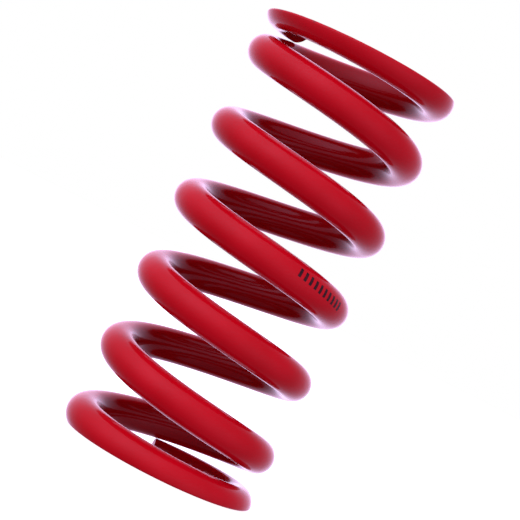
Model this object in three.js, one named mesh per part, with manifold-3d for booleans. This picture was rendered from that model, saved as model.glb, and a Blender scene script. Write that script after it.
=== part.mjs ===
// Coil spring: a cylindrical compression spring for a shock absorber, wound left-handed from round steel
// wire, with both end coils closed and ground flat. Millimetres, +Z up along the coil's axis, and the
// origin is the centre of the lower ground face. The real spring is one wire. Here each closed end coil
// is a node, and so is each stretch of the open coils between them, so that the coils can close up.
import * as THREE from "three";
import { mergeVertices } from "three/addons/utils/BufferGeometryUtils.js";
import Module from "manifold-3d";

// Driving dimensions: lengths in millimetres, lengths along the wire in turns.
const BORE = 46;
const WIRE = 11.7;
const FREE_LENGTH = 150;
const TOTAL_TURNS = 6.873;
const LOWER_TIP_ANGLE = THREE.MathUtils.degToRad(96.9);
// Each end is wound at a closed pitch, then opens out over part of a turn. Grinding the end coil flat
// takes the wire down until its centre line lies this far outside the ground face at the tip.
const LOWER_END = { pitch: 8.81, closedTurns: 0.642, openingTurns: 0.37, groundPastCentre: 2.23 };
const UPPER_END = { pitch: 7.42, closedTurns: 0.458, openingTurns: 0.619, groundPastCentre: 1.99 };

// How the wire is divided: the turns in each end coil's node, and the stretches between. The lower end coil
// carries the first ones and the upper end coil the rest. The two groups swing towards each other a little
// in the middle of the travel, so that gap is wider.
const END_COIL_TURNS = 1;
const STRETCHES = 39;
const CARRIED_BY_LOWER_END = 20;
const STRETCH_GAP = 0.5;
const MIDDLE_GAP = 1;

// Facets of the round wire.
const WIRE_SIDES = 16;
const STRETCH_STEPS = 6;
const END_COIL_STEPS = 48;

// The coloured powder coat that covers the whole wire.
const POWDER_COAT = { color: 0xb00f2b, roughness: 0.2, metalness: 0 };

const COIL_RADIUS = (BORE + WIRE) / 2;
const FULL_TURN = 2 * Math.PI;

// The integral of a smooth step from 0 to 1, which gives the length of a ramp that eases in and out.
function easedLength(x) {
  if (x <= 0) return 0;
  if (x >= 1) return x - 0.5;
  return x ** 3 - x ** 4 / 2;
}

// How much of the wire this many turns in from an end's tip counts as closed, and not yet as open.
function closedTurns(end, turns) {
  return turns - end.openingTurns * easedLength((turns - end.closedTurns) / end.openingTurns);
}

// The open coils take up the length that the closed ends leave.
function openPitch() {
  const lower = closedTurns(LOWER_END, TOTAL_TURNS);
  const upper = closedTurns(UPPER_END, TOTAL_TURNS);
  const wholeRise = FREE_LENGTH + LOWER_END.groundPastCentre + UPPER_END.groundPastCentre;
  return (wholeRise - lower * LOWER_END.pitch - upper * UPPER_END.pitch) / (TOTAL_TURNS - lower - upper);
}

const OPEN_PITCH = openPitch();

// Height of the wire's centre line, this many turns along from the lower tip.
function heightAt(turns) {
  const lower = closedTurns(LOWER_END, turns);
  const upper = closedTurns(UPPER_END, TOTAL_TURNS) - closedTurns(UPPER_END, TOTAL_TURNS - turns);
  const rise = lower * LOWER_END.pitch + upper * UPPER_END.pitch + (turns - lower - upper) * OPEN_PITCH;
  return rise - LOWER_END.groundPastCentre;
}

// The wire's centre line from one number of turns to another. It climbs clockwise, seen from above.
class WireHelix extends THREE.Curve {
  constructor(from, to) {
    super();
    this.from = from;
    this.to = to;
  }

  getPoint(share, target = new THREE.Vector3()) {
    const turns = THREE.MathUtils.lerp(this.from, this.to, share);
    const angle = LOWER_TIP_ANGLE - FULL_TURN * turns;
    return target.set(COIL_RADIUS * Math.cos(angle), COIL_RADIUS * Math.sin(angle), heightAt(turns));
  }

  // The section keeps one side facing the coil's axis, so that the facets of all stretches line up.
  computeFrenetFrames(segments) {
    const frames = { tangents: [], normals: [], binormals: [] };
    for (let step = 0; step <= segments; step += 1) {
      const tangent = this.getTangentAt(step / segments);
      const outward = this.getPointAt(step / segments).setZ(0).normalize();
      frames.tangents.push(tangent);
      frames.normals.push(outward);
      frames.binormals.push(new THREE.Vector3().crossVectors(tangent, outward));
    }
    return frames;
  }
}

// The round section as a polygon of the same area, so that the solid has the real wire's mass.
function wireSection() {
  const corner = FULL_TURN / WIRE_SIDES;
  const radius = (WIRE / 2) * Math.sqrt(corner / Math.sin(corner));
  const points = [];
  for (let side = 0; side < WIRE_SIDES; side += 1) {
    const angle = (side + 0.5) * corner;
    points.push(new THREE.Vector2(radius * Math.cos(angle), radius * Math.sin(angle)));
  }
  return new THREE.Shape(points);
}

function wireGeometry(from, to, steps) {
  const extrudePath = new WireHelix(from, to);
  return new THREE.ExtrudeGeometry(wireSection(), { steps, extrudePath, bevelEnabled: false });
}

const wasm = await Module();
wasm.setup();

function solidFrom(geometry) {
  geometry.deleteAttribute("normal");
  geometry.deleteAttribute("uv");
  const merged = mergeVertices(geometry, 1e-4);
  const vertProperties = merged.attributes.position.array;
  const triVerts = new Uint32Array(merged.index.array);
  return new wasm.Manifold(new wasm.Mesh({ numProp: 3, vertProperties, triVerts }));
}

function geometryFrom(solid) {
  const { vertProperties, triVerts } = solid.getMesh();
  const indexed = new THREE.BufferGeometry();
  indexed.setAttribute("position", new THREE.BufferAttribute(vertProperties, 3));
  indexed.setIndex(new THREE.BufferAttribute(triVerts, 1));
  const faceted = indexed.toNonIndexed();
  faceted.computeVertexNormals();
  return faceted;
}

// What the grinding wheel takes off: a block whose inner face is the ground face at this height.
function grindingBlock(faceHeight, side) {
  const width = 2 * (BORE + 2 * WIRE);
  const block = new THREE.BoxGeometry(width, width, WIRE);
  block.translate(0, 0, faceHeight + (side * WIRE) / 2);
  return solidFrom(block);
}

function endCoilGeometry(from, to, faceHeight, side) {
  const wire = solidFrom(wireGeometry(from, to, END_COIL_STEPS));
  return geometryFrom(wire.subtract(grindingBlock(faceHeight, side)));
}

const spring = new THREE.Group();
spring.name = "coil_spring";

function addPiece(name, geometry) {
  const piece = new THREE.Mesh(geometry, new THREE.MeshStandardMaterial(POWDER_COAT));
  piece.name = name;
  spring.add(piece);
}

const openFrom = END_COIL_TURNS;
const openTo = TOTAL_TURNS - END_COIL_TURNS;

// Half the gap at a place where two nodes meet, in turns. Place 0 is the top of the bottom end coil.
function halfGapAt(place) {
  const gap = place === CARRIED_BY_LOWER_END ? MIDDLE_GAP : STRETCH_GAP;
  return gap / 2 / (FULL_TURN * COIL_RADIUS);
}

function turnsAt(place) {
  return THREE.MathUtils.lerp(openFrom, openTo, place / STRETCHES);
}

const bottomCoilTo = openFrom - halfGapAt(0);
const topCoilFrom = openTo + halfGapAt(STRETCHES);
addPiece("bottom_end_coil", endCoilGeometry(0, bottomCoilTo, 0, -1));
addPiece("top_end_coil", endCoilGeometry(topCoilFrom, TOTAL_TURNS, FREE_LENGTH, 1));

for (let place = 0; place < STRETCHES; place += 1) {
  const from = turnsAt(place) + halfGapAt(place);
  const to = turnsAt(place + 1) - halfGapAt(place + 1);
  const number = String(place + 1).padStart(2, "0");
  addPiece(`active_coil_stretch_${number}`, wireGeometry(from, to, STRETCH_STEPS));
}

export default spring;
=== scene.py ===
"""A coil spring in gloss red powder coat: one fine swept wire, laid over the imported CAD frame."""

import math

import bpy
import numpy as np
from mathutils import Matrix, Vector


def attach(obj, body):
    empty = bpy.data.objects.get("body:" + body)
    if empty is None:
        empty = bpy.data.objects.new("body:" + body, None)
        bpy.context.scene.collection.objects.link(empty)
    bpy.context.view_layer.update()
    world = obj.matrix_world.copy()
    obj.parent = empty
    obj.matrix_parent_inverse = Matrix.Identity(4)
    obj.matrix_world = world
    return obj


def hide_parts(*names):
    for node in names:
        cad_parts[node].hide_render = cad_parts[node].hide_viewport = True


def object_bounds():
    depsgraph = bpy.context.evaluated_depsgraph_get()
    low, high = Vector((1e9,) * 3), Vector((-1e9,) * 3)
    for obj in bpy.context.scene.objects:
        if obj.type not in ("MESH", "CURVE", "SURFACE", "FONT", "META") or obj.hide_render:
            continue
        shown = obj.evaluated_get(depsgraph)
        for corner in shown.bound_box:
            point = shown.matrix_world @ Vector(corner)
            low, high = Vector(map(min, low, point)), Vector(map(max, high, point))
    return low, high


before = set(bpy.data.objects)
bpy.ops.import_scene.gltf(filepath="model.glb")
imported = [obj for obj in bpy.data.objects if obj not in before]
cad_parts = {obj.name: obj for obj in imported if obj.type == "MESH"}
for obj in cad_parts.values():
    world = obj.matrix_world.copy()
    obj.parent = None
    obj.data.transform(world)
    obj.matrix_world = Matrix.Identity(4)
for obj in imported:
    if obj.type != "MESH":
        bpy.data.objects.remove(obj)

cad_low, cad_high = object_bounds()

# Driving dimensions of the spring, in metres, and in turns from the wire's lower tip.
BORE = 0.046
WIRE = 0.0117
FREE_LENGTH = 0.150
TOTAL_TURNS = 6.873
LOWER_TIP_ANGLE = math.radians(96.9)
LOWER_END = {"pitch": 0.00881, "closed": 0.642, "opening": 0.37, "past_centre": 0.00223}
UPPER_END = {"pitch": 0.00742, "closed": 0.458, "opening": 0.619, "past_centre": 0.00199}
END_COIL_TURNS = 1
STRETCHES = 39

COIL_RADIUS = (BORE + WIRE) / 2
WIRE_RADIUS = WIRE / 2
FULL_TURN = 2 * math.pi

# The ground faces' edges are broken to the first radius, and the edge of each cut tip to the second.
BROKEN_EDGE = 0.0008
TIP_EDGE = 0.0003

# Fineness of the visible surface.
RING_SIDES = 72
FACE_HALF_SIDES = 5
EDGE_SIDES = 4
LEAST_EDGE_ANGLE = math.radians(6)
RINGS_PER_TURN = 160


# ---------------------------------------------------------------- the wire's centre line

def eased_length(x):
    """The integral of a smooth step from 0 to 1."""
    if x <= 0:
        return 0.0
    if x >= 1:
        return x - 0.5
    return x ** 3 - x ** 4 / 2


def closed_turns(end, turns):
    """How much of the wire this many turns in from an end's tip counts as closed."""
    return turns - end["opening"] * eased_length((turns - end["closed"]) / end["opening"])


def open_pitch():
    """The open coils take up the length that the closed ends leave."""
    lower = closed_turns(LOWER_END, TOTAL_TURNS)
    upper = closed_turns(UPPER_END, TOTAL_TURNS)
    rise = FREE_LENGTH + LOWER_END["past_centre"] + UPPER_END["past_centre"]
    closed_rise = lower * LOWER_END["pitch"] + upper * UPPER_END["pitch"]
    return (rise - closed_rise) / (TOTAL_TURNS - lower - upper)


OPEN_PITCH = open_pitch()


def centre_height(turns):
    lower = closed_turns(LOWER_END, turns)
    upper = closed_turns(UPPER_END, TOTAL_TURNS) - closed_turns(UPPER_END, TOTAL_TURNS - turns)
    open_turns = turns - lower - upper
    rise = lower * LOWER_END["pitch"] + upper * UPPER_END["pitch"] + open_turns * OPEN_PITCH
    return rise - LOWER_END["past_centre"]


def wire_axes(turns):
    """The centre line's point this many turns along, and its outward, upward and forward directions."""
    step = 1e-4
    angle = LOWER_TIP_ANGLE - FULL_TURN * turns
    slope = (centre_height(turns + step) - centre_height(turns - step)) / (2 * step)
    outward = np.array([math.cos(angle), math.sin(angle), 0.0])
    forward = np.array([math.sin(angle), -math.cos(angle), slope / (FULL_TURN * COIL_RADIUS)])
    forward /= np.linalg.norm(forward)
    upward = np.cross(outward, forward)
    upward *= math.copysign(1.0, upward[2])
    centre = COIL_RADIUS * outward + np.array([0.0, 0.0, centre_height(turns)])
    return centre, outward, upward, forward


# ---------------------------------------------------------------- the wire's section

def far_hit(start, direction, centre, radius):
    """Where a ray from inside a circle leaves it."""
    offset = start - centre
    along = offset @ direction
    return start + direction * (math.sqrt(along ** 2 - offset @ offset + radius ** 2) - along)


def section(depth):
    """One ring of the wire as (positions, normals, how much of an edge it is), outward by upward.

    What lies more than depth below the centre is ground away, and the two corners left are broken.
    The ring is the right half from straight down to straight up, mirrored to the left.
    """
    clear = min(max(depth / WIRE_RADIUS - 1, 0.0), 1.0)
    smallest = LEAST_EDGE_ANGLE * (1 - clear) + FULL_TURN / RING_SIDES * EDGE_SIDES * clear
    depth = min(depth, WIRE_RADIUS)
    edge_radius = BROKEN_EDGE
    reach = math.sqrt(max(0.0, (WIRE_RADIUS - edge_radius) ** 2 - (depth - edge_radius) ** 2))
    edge_centre = np.array([reach, edge_radius - depth])
    edge_out = edge_centre * WIRE_RADIUS / (WIRE_RADIUS - edge_radius)
    middle = np.array([0.0, (WIRE_RADIUS - depth) / 2])

    def turned_from_down(point):
        seen = point - middle
        return math.atan2(seen[0], -seen[1])

    face_to = max(turned_from_down(np.array([reach, -depth])), smallest * FACE_HALF_SIDES / EDGE_SIDES)
    edge_to = max(turned_from_down(edge_out), face_to + smallest)
    arc_sides = RING_SIDES // 2 - FACE_HALF_SIDES - EDGE_SIDES
    turned = np.concatenate([
        np.linspace(0, face_to, FACE_HALF_SIDES + 1)[:-1],
        np.linspace(face_to, edge_to, EDGE_SIDES + 1)[:-1],
        np.linspace(edge_to, math.pi, arc_sides + 1),
    ])
    points, normals, edges = [], [], []
    for angle in turned:
        direction = np.array([math.sin(angle), -math.cos(angle)])
        point = far_hit(middle, direction, np.zeros(2), WIRE_RADIUS)
        normal = point / WIRE_RADIUS
        edge = 0.0
        on_face = middle + direction * (middle[1] + depth) / max(-direction[1], 1e-9)
        if direction[1] < 0 and on_face[0] <= reach:
            point, normal = on_face, np.array([0.0, -1.0])
        elif angle < turned_from_down(edge_out):
            point = far_hit(middle, direction, edge_centre, edge_radius)
            normal = (point - edge_centre) / edge_radius
            edge = 1.0
        points.append(point)
        normals.append(normal)
        edges.append(edge)
    mirror = np.array([-1.0, 1.0])
    points = np.array(points + [p * mirror for p in points[-2:0:-1]])
    normals = np.array(normals + [n * mirror for n in normals[-2:0:-1]])
    return points, normals, np.array(edges + edges[-2:0:-1])


# ---------------------------------------------------------------- swept pieces of wire

def ring_at(turns, inset=0.0, tip_tilt=0.0, tip_side=0.0):
    """One ring of the wire: points, normals, how much of an edge, and how much ground or cut.

    inset, tip_tilt and tip_side round a cut tip's edge.
    """
    centre, outward, upward, forward = wire_axes(turns)
    lower_depth = centre[2] / upward[2]
    upper_depth = (FREE_LENGTH - centre[2]) / upward[2]
    at_top = upper_depth < lower_depth
    points, normals, edges = section(upper_depth if at_top else lower_depth)
    if at_top:
        points = points * [1, -1]
        normals = normals * [1, -1]
    points = points - inset * normals
    placed = centre + points[:, :1] * outward + points[:, 1:] * upward
    facing = normals[:, :1] * outward + normals[:, 1:] * upward
    on_face = np.minimum(np.abs(placed[:, 2]), np.abs(placed[:, 2] - FREE_LENGTH)) < 1e-6 + inset
    ground = on_face & (np.abs(normals[:, 1]) == 1)
    facing[ground] = [0, 0, 1 if at_top else -1]
    facing = math.cos(tip_tilt) * facing + math.sin(tip_tilt) * tip_side * forward
    edges = np.maximum(edges, math.sin(tip_tilt))
    cut = np.maximum(ground, math.sin(tip_tilt))
    if at_top:
        order = (RING_SIDES // 2 - np.arange(RING_SIDES)) % RING_SIDES
        return placed[order], facing[order], edges[order], cut[order]
    return placed, facing, edges, cut


def tip_rings(tip, inward):
    """The rings that round a cut tip's edge, from the end face in. inward is 1 or -1 along the wire."""
    rings = []
    for step in range(EDGE_SIDES):
        tilt = (1 - step / EDGE_SIDES) * math.pi / 2
        along = TIP_EDGE * (1 - math.sin(tilt)) / (FULL_TURN * COIL_RADIUS)
        inset = TIP_EDGE * (1 - math.cos(tilt))
        rings.append(ring_at(tip + inward * along, inset, tilt, -inward))
    return rings


def wire_piece(name, start, end, start_is_tip=False, end_is_tip=False):
    """A closed length of wire between two numbers of turns.

    Its normals are exact, so that the lengths shade as one.
    """
    rounding = TIP_EDGE / (FULL_TURN * COIL_RADIUS)
    first = start + rounding * start_is_tip
    last = end - rounding * end_is_tip
    steps = max(2, round((last - first) * RINGS_PER_TURN))
    rings = [ring_at(turns) for turns in np.linspace(first, last, steps + 1)]
    if start_is_tip:
        rings = tip_rings(start, 1) + rings
    if end_is_tip:
        rings = rings + tip_rings(end, -1)[::-1]
    sides = len(rings[0][0])
    positions = np.concatenate([ring[0] for ring in rings])
    normals = np.concatenate([ring[1] for ring in rings])
    edges = np.concatenate([ring[2] for ring in rings])
    cut = np.concatenate([ring[3] for ring in rings])
    count = len(rings)
    faces, corner_normals = [], []
    for row in range(count - 1):
        for side in range(sides):
            beside = (side + 1) % sides
            corners = [row * sides + side, row * sides + beside,
                       (row + 1) * sides + beside, (row + 1) * sides + side]
            faces.append(corners)
            corner_normals += [normals[corner] for corner in corners]
    for row, order in ((0, -1), (count - 1, 1)):
        corners = [row * sides + side for side in range(sides)][::order]
        faces.append(corners)
        out = wire_axes(start if row == 0 else end)[3] * order
        corner_normals += [out] * sides
    mesh = bpy.data.meshes.new(name)
    mesh.from_pydata(positions.tolist(), [], faces)
    mesh.validate()
    mesh.polygons.foreach_set("use_smooth", [True] * len(mesh.polygons))
    # How much each point faces the coil's axis; the coat uses it to paint shade on the inner side.
    across = positions[:, :2] / np.linalg.norm(positions[:, :2], axis=1, keepdims=True)
    inward = -np.sum(normals[:, :2] * across, axis=1)
    for label, values in (("edge_wear", edges), ("cut_face", cut), ("faces_inward", inward)):
        layer = mesh.attributes.new(label, "FLOAT", "POINT")
        layer.data.foreach_set("value", values.astype(np.float32))
    mesh.normals_split_custom_set([Vector(normal).normalized() for normal in corner_normals])
    piece = bpy.data.objects.new(name, mesh)
    bpy.context.scene.collection.objects.link(piece)
    return piece


# ---------------------------------------------------------------- the printed mark

# An even row of plain bars printed along the wire, between two places given as turns and as degrees
# round the wire above its outermost side.
MARK_FROM = (3.46, 24)
MARK_TO = (3.35, 5)
BAR_COUNT = 10
BAR_WIDTH = 0.0011
BAR_HEIGHT = 0.003
INK_PROUD = 0.00003
INK_SUNK = 0.00006
BAR_STEPS = 6


def mark_place(share):
    """The turns and degrees at a share of the mark's length."""
    return [start + (end - start) * share for start, end in zip(MARK_FROM, MARK_TO)]


def on_wire(turns, degrees, lift):
    """A point of the wire's surface, lifted off it."""
    centre, outward, upward, _ = wire_axes(turns)
    round_wire = math.radians(degrees)
    return centre + (WIRE_RADIUS + lift) * (math.cos(round_wire) * outward + math.sin(round_wire) * upward)


def mark_length():
    points = [on_wire(*mark_place(share), 0) for share in np.linspace(0, 1, 40)]
    return sum(np.linalg.norm(b - a) for a, b in zip(points, points[1:]))


def bar_mesh(share, length):
    """One bar as (positions, faces): a thin closed patch that follows the wire's surface."""
    near = mark_place(share - BAR_WIDTH / 2 / length)
    far = mark_place(share + BAR_WIDTH / 2 / length)
    # The line's direction and the bar's own, in metres along the wire and round it.
    middle_angle = math.radians((near[1] + far[1]) / 2)
    metres_per_turn = FULL_TURN * (COIL_RADIUS + WIRE_RADIUS * math.cos(middle_angle))
    metres_per_degree = WIRE_RADIUS * math.radians(1)
    along = np.array([(far[0] - near[0]) * metres_per_turn, (far[1] - near[1]) * metres_per_degree])
    across = np.array([along[1], -along[0]]) / np.linalg.norm(along) * BAR_HEIGHT / 2
    positions = []
    for lift in (-INK_SUNK, INK_PROUD):
        for up in np.linspace(-1, 1, BAR_STEPS + 1):
            for side in (0, 0.5, 1):
                turns = near[0] + (far[0] - near[0]) * side + up * across[0] / metres_per_turn
                degrees = near[1] + (far[1] - near[1]) * side + up * across[1] / metres_per_degree
                positions.append(on_wire(turns, degrees, lift))
    layer = 3 * (BAR_STEPS + 1)
    faces = []
    for row in range(BAR_STEPS):
        for side in range(2):
            low = row * 3 + side
            faces.append((low, low + 3, low + 4, low + 1))
            faces.append((layer + low, layer + low + 1, layer + low + 4, layer + low + 3))
        for low, high in ((row * 3, row * 3 + 3), (row * 3 + 5, row * 3 + 2)):
            faces.append((low, layer + low, layer + high, high))
    for row, order in ((0, 1), (BAR_STEPS, -1)):
        for side in range(2):
            low = row * 3 + side
            faces.append((low, low + 1, layer + low + 1, layer + low)[::order])
    return positions, faces


def mark_pieces():
    """The mark's bars, gathered by the stretch of wire that they are printed on."""
    length = mark_length()
    by_stretch = {}
    for bar in range(BAR_COUNT):
        share = (bar + 0.5) / BAR_COUNT
        turns = mark_place(share)[0]
        stretch = int((turns - open_from) / (open_to - open_from) * STRETCHES) + 1
        positions, faces = by_stretch.setdefault(stretch, ([], []))
        bar_positions, bar_faces = bar_mesh(share, length)
        faces += [[corner + len(positions) for corner in face] for face in bar_faces]
        positions += bar_positions
    for stretch, (positions, faces) in by_stretch.items():
        name = f"printed_mark_{stretch:02d}"
        mesh = bpy.data.meshes.new(name)
        mesh.from_pydata([tuple(position) for position in positions], [], faces)
        piece = bpy.data.objects.new(name, mesh)
        bpy.context.scene.collection.objects.link(piece)
        piece.data.materials.append(ink())
        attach(piece, f"stretch_{stretch:02d}")


# ---------------------------------------------------------------- materials

# How fine each pattern is, in cycles per metre.
PIGMENT_SCALE = 45
WAVE_SCALE = 130
PEEL_SCALE = 620
CHIP_SCALE = 700
GRINDING_SCALE = 1800
GLOSS_SCALE = 2600
INK_PATCH_SCALE = 1500
INK_GRAIN_SCALE = 4000


def new_material(name):
    material = bpy.data.materials.new(name)
    material.use_nodes = True
    nodes = material.node_tree.nodes
    return material, nodes, material.node_tree.links, nodes["Principled BSDF"]


def noise(nodes, links, place, scale, detail=2.0, rough=0.5):
    node = nodes.new("ShaderNodeTexNoise")
    node.inputs["Scale"].default_value = scale
    node.inputs["Detail"].default_value = detail
    node.inputs["Roughness"].default_value = rough
    links.new(place.outputs["Object"], node.inputs["Vector"])
    return node.outputs["Fac"]


def grinding_lines(nodes, links, place):
    """Fine straight lines, as a grinding wheel leaves them."""
    stretched = nodes.new("ShaderNodeMapping")
    stretched.inputs["Scale"].default_value = (1, 0.02, 0)
    links.new(place.outputs["Object"], stretched.inputs["Vector"])
    node = nodes.new("ShaderNodeTexNoise")
    node.inputs["Scale"].default_value = GRINDING_SCALE
    node.inputs["Detail"].default_value = 4
    links.new(stretched.outputs["Vector"], node.inputs["Vector"])
    return node.outputs["Fac"]


def mapped(nodes, links, value, from_low, from_high, to_low, to_high):
    node = nodes.new("ShaderNodeMapRange")
    node.interpolation_type = "SMOOTHSTEP"
    node.inputs["From Min"].default_value = from_low
    node.inputs["From Max"].default_value = from_high
    node.inputs["To Min"].default_value = to_low
    node.inputs["To Max"].default_value = to_high
    links.new(value, node.inputs["Value"])
    return node.outputs["Result"]


def mixed(nodes, links, factor, first, second):
    """One colour blended into another, each of them a socket or a plain colour."""
    node = nodes.new("ShaderNodeMix")
    node.data_type = "RGBA"
    links.new(factor, node.inputs["Factor"])
    for socket, colour in (("A", first), ("B", second)):
        target = next(s for s in node.inputs if s.name == socket and s.type == "RGBA")
        if isinstance(colour, tuple):
            target.default_value = (*colour, 1)
        else:
            links.new(colour, target)
    return next(s for s in node.outputs if s.type == "RGBA")


def calculated(nodes, links, operation, first, second=None):
    """A math node on sockets or plain numbers."""
    node = nodes.new("ShaderNodeMath")
    node.operation = operation
    for socket, value in zip(node.inputs, (first, second)):
        if isinstance(value, (int, float)):
            socket.default_value = value
        elif value is not None:
            links.new(value, socket)
    return node.outputs["Value"]


def attribute(nodes, name):
    node = nodes.new("ShaderNodeAttribute")
    node.attribute_name = name
    return node.outputs["Fac"]


# Painted shade: the coat is darker on the side that faces the coil's axis, standing in for the shade
# inside the coil. That is a choice for the looks.
RED_DEEP = (0.47, 0.001, 0.006)
RED_BRIGHT = (0.53, 0.002, 0.009)
RED_PAINTED_SHADE_INSIDE = (0.22, 0.0005, 0.002)
RED_IN_LINES = (0.3, 0.001, 0.004)
PRIMER = (0.10, 0.030, 0.030)
INK_DARK = (0.012, 0.0010, 0.003)
INK_THIN = (0.060, 0.0012, 0.005)


def powder_coat():
    """Gloss red powder coat: pigment that varies a little, slight orange peel, worn edges, and painted
    shade on the side that faces the coil's axis.

    It is rougher where it covers a ground or cut face, and the grinding lines show through.
    """
    material, nodes, links, shader = new_material("powder_coat")
    place = nodes.new("ShaderNodeTexCoord")
    pigment = mapped(nodes, links, noise(nodes, links, place, PIGMENT_SCALE, 4), 0.3, 0.7, 0, 1)
    colour = mixed(nodes, links, pigment, RED_DEEP, RED_BRIGHT)
    # Painted shade: a darker red on the side that faces the coil's axis.
    inside_shade = mapped(nodes, links, attribute(nodes, "faces_inward"), 0.1, 0.75, 0, 1)
    colour = mixed(nodes, links, inside_shade, colour, RED_PAINTED_SHADE_INSIDE)
    cut = attribute(nodes, "cut_face")
    lines = grinding_lines(nodes, links, place)
    shown = calculated(nodes, links, "MULTIPLY", cut, mapped(nodes, links, lines, 0.4, 0.65, 0, 0.6))
    colour = mixed(nodes, links, shown, colour, RED_IN_LINES)
    chips = mapped(nodes, links, noise(nodes, links, place, CHIP_SCALE, 3, 0.7), 0.56, 0.66, 0, 0.75)
    worn = calculated(nodes, links, "MULTIPLY", attribute(nodes, "edge_wear"), chips)
    links.new(mixed(nodes, links, worn, colour, PRIMER), shader.inputs["Base Color"])
    grain = mapped(nodes, links, noise(nodes, links, place, GLOSS_SCALE, 3), 0.3, 0.7, 0.10, 0.16)
    rough = calculated(nodes, links, "ADD", grain, calculated(nodes, links, "MULTIPLY", cut, 0.2))
    links.new(rough, shader.inputs["Roughness"])
    peel = nodes.new("ShaderNodeBump")
    peel.inputs["Strength"].default_value = 0.07
    peel.inputs["Distance"].default_value = 0.0003
    waves = calculated(nodes, links, "MULTIPLY", noise(nodes, links, place, WAVE_SCALE, 1), 3)
    height = calculated(nodes, links, "ADD", noise(nodes, links, place, PEEL_SCALE, 1), waves)
    links.new(height, peel.inputs["Height"])
    grooves = nodes.new("ShaderNodeBump")
    grooves.inputs["Strength"].default_value = 0.5
    grooves.inputs["Distance"].default_value = 0.0004
    links.new(calculated(nodes, links, "MULTIPLY", cut, lines), grooves.inputs["Height"])
    links.new(peel.outputs["Normal"], grooves.inputs["Normal"])
    links.new(grooves.outputs["Normal"], shader.inputs["Normal"])
    shader.inputs["IOR"].default_value = 1.5
    shader.inputs["Specular IOR Level"].default_value = 0.15
    return material


def ink():
    """Thin dark ink that the red shows through, a little patchy."""
    material, nodes, links, shader = new_material("marking_ink")
    place = nodes.new("ShaderNodeTexCoord")
    patch = mapped(nodes, links, noise(nodes, links, place, INK_PATCH_SCALE, 3), 0.35, 0.7, 0, 1)
    links.new(mixed(nodes, links, patch, INK_DARK, INK_THIN), shader.inputs["Base Color"])
    links.new(mapped(nodes, links, patch, 0, 1, 0.35, 0.5), shader.inputs["Roughness"])
    grain = nodes.new("ShaderNodeBump")
    grain.inputs["Strength"].default_value = 0.15
    grain.inputs["Distance"].default_value = 0.0001
    links.new(noise(nodes, links, place, INK_GRAIN_SCALE, 2), grain.inputs["Height"])
    links.new(grain.outputs["Normal"], shader.inputs["Normal"])
    shader.inputs["Specular IOR Level"].default_value = 0.2
    return material


# ---------------------------------------------------------------- build the spring

coat = powder_coat()


def coated(piece, body, node):
    piece.data.materials.append(coat)
    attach(piece, body)
    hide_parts(node)
    return piece


open_from = END_COIL_TURNS
open_to = TOTAL_TURNS - END_COIL_TURNS

coated(wire_piece("bottom_end_wire", 0, open_from, start_is_tip=True), "bottom_end", "bottom_end_coil")
coated(wire_piece("top_end_wire", open_to, TOTAL_TURNS, end_is_tip=True), "top_end", "top_end_coil")
for place in range(STRETCHES):
    start = open_from + (open_to - open_from) * place / STRETCHES
    end = open_from + (open_to - open_from) * (place + 1) / STRETCHES
    number = f"{place + 1:02d}"
    stretch = wire_piece(f"wire_stretch_{number}", start, end)
    coated(stretch, f"stretch_{number}", f"active_coil_stretch_{number}")
mark_pieces()


# ---------------------------------------------------------------- floor, light and camera

FLOOR_HALF_WIDTH = 3.0
FLOOR_GAP = 0.0002
FLOOR_GREY = 0.8
FLOOR_GLOW = 0.85


def make_floor():
    """A plain pale floor just under the spring, which doesn't shade or tint it."""
    mesh = bpy.data.meshes.new("floor")
    half = FLOOR_HALF_WIDTH
    corners = [(-half, -half, 0), (half, -half, 0), (half, half, 0), (-half, half, 0)]
    mesh.from_pydata(corners, [], [(0, 1, 2, 3)])
    floor = bpy.data.objects.new("floor", mesh)
    bpy.context.scene.collection.objects.link(floor)
    floor.location.z = cad_low.z - FLOOR_GAP
    material, _, _, shader = new_material("floor")
    shader.inputs["Base Color"].default_value = (FLOOR_GREY, FLOOR_GREY, FLOOR_GREY, 1)
    shader.inputs["Roughness"].default_value = 0.9
    shader.inputs["Emission Color"].default_value = (1, 1, 1, 1)
    shader.inputs["Emission Strength"].default_value = FLOOR_GLOW
    mesh.materials.append(material)
    floor.visible_glossy = False
    floor.visible_diffuse = False
    floor.visible_shadow = False


# A plain white room with three soft lights, each as (degrees round from +X, degrees up, strength):
# a key ahead, to the left and above, a weaker fill ahead and to the right, and a white sheet behind.
KEY_LIGHT = (225, 45, 2.0)
FILL_LIGHT = (315, 0, 0.8)
SHEET_BEHIND = (90, 0, 1.8)
LIGHT_TIGHTNESS = 3
ROOM_LEVEL = 0.1
# White with a slight violet tint.
LIGHT_COLOUR = (1.0, 0.8, 1.2)


def soft_light(nodes, links, direction, light):
    """How bright one soft light is, seen in a direction."""
    around, above, strength = light
    around, above = math.radians(around), math.radians(above)
    towards = (math.cos(above) * math.cos(around), math.cos(above) * math.sin(around), math.sin(above))
    node = nodes.new("ShaderNodeVectorMath")
    node.operation = "DOT_PRODUCT"
    node.inputs[1].default_value = towards
    links.new(direction, node.inputs[0])
    turned_away = calculated(nodes, links, "SUBTRACT", node.outputs["Value"], 1)
    scaled = calculated(nodes, links, "MULTIPLY", turned_away, LIGHT_TIGHTNESS)
    fall = calculated(nodes, links, "EXPONENT", scaled)
    return calculated(nodes, links, "MULTIPLY", fall, strength)


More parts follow.
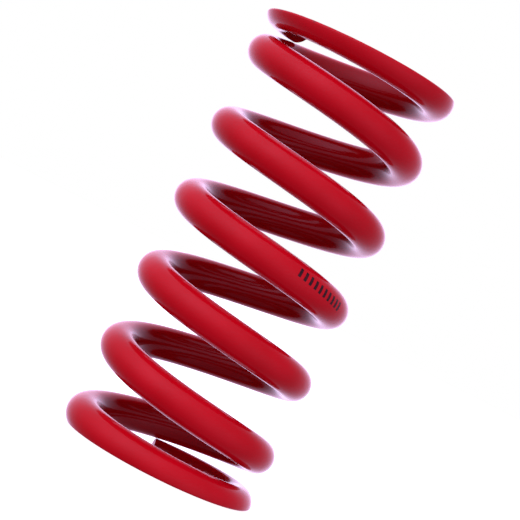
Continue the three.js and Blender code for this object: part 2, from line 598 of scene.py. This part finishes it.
def make_light():
    """Soft studio light on the spring, and plain white for the camera to see behind it."""
    world = bpy.data.worlds.new("studio")
    bpy.context.scene.world = world
    world.use_nodes = True
    nodes, links = world.node_tree.nodes, world.node_tree.links
    nodes.clear()
    place = nodes.new("ShaderNodeTexCoord")
    level = ROOM_LEVEL
    for light in (KEY_LIGHT, FILL_LIGHT, SHEET_BEHIND):
        one = soft_light(nodes, links, place.outputs["Generated"], light)
        level = calculated(nodes, links, "ADD", one, level)
    studio = nodes.new("ShaderNodeBackground")
    studio.inputs["Color"].default_value = (*LIGHT_COLOUR, 1)
    links.new(level, studio.inputs["Strength"])
    white = nodes.new("ShaderNodeBackground")
    white.inputs["Color"].default_value = (1, 1, 1, 1)
    rays = nodes.new("ShaderNodeLightPath")
    either = nodes.new("ShaderNodeMixShader")
    links.new(rays.outputs["Is Camera Ray"], either.inputs["Fac"])
    links.new(studio.outputs["Background"], either.inputs[1])
    links.new(white.outputs["Background"], either.inputs[2])
    out = nodes.new("ShaderNodeOutputWorld")
    links.new(either.outputs["Shader"], out.inputs["Surface"])


# The camera looks along +Y at the spring's middle, from a little above it, and is rolled.
CAMERA_DISTANCE = 0.5832
CAMERA_LENS_MM = 122.4
CAMERA_SENSOR_MM = 36
CAMERA_ELEVATION = math.radians(0.405)
CAMERA_ROLL = math.radians(26.87)
CAMERA_OFFSET = (0.00053, 0.00011)


def make_camera():
    data = bpy.data.cameras.new("camera")
    data.lens = CAMERA_LENS_MM
    data.sensor_width = CAMERA_SENSOR_MM
    camera = bpy.data.objects.new("camera", data)
    bpy.context.scene.collection.objects.link(camera)
    bpy.context.scene.camera = camera
    ahead = Vector((0, math.cos(CAMERA_ELEVATION), -math.sin(CAMERA_ELEVATION)))
    side = Vector((1, 0, 0))
    above = side.cross(ahead)
    right = math.cos(CAMERA_ROLL) * side + math.sin(CAMERA_ROLL) * above
    up = math.cos(CAMERA_ROLL) * above - math.sin(CAMERA_ROLL) * side
    turned = Matrix((right, up, -ahead)).transposed().to_4x4()
    middle = Vector((0, 0, FREE_LENGTH / 2))
    place = middle + CAMERA_OFFSET[0] * side + CAMERA_OFFSET[1] * above - CAMERA_DISTANCE * ahead
    camera.matrix_world = Matrix.Translation(place) @ turned


make_floor()
make_light()
make_camera()
bpy.context.scene.view_settings.view_transform = "Standard"
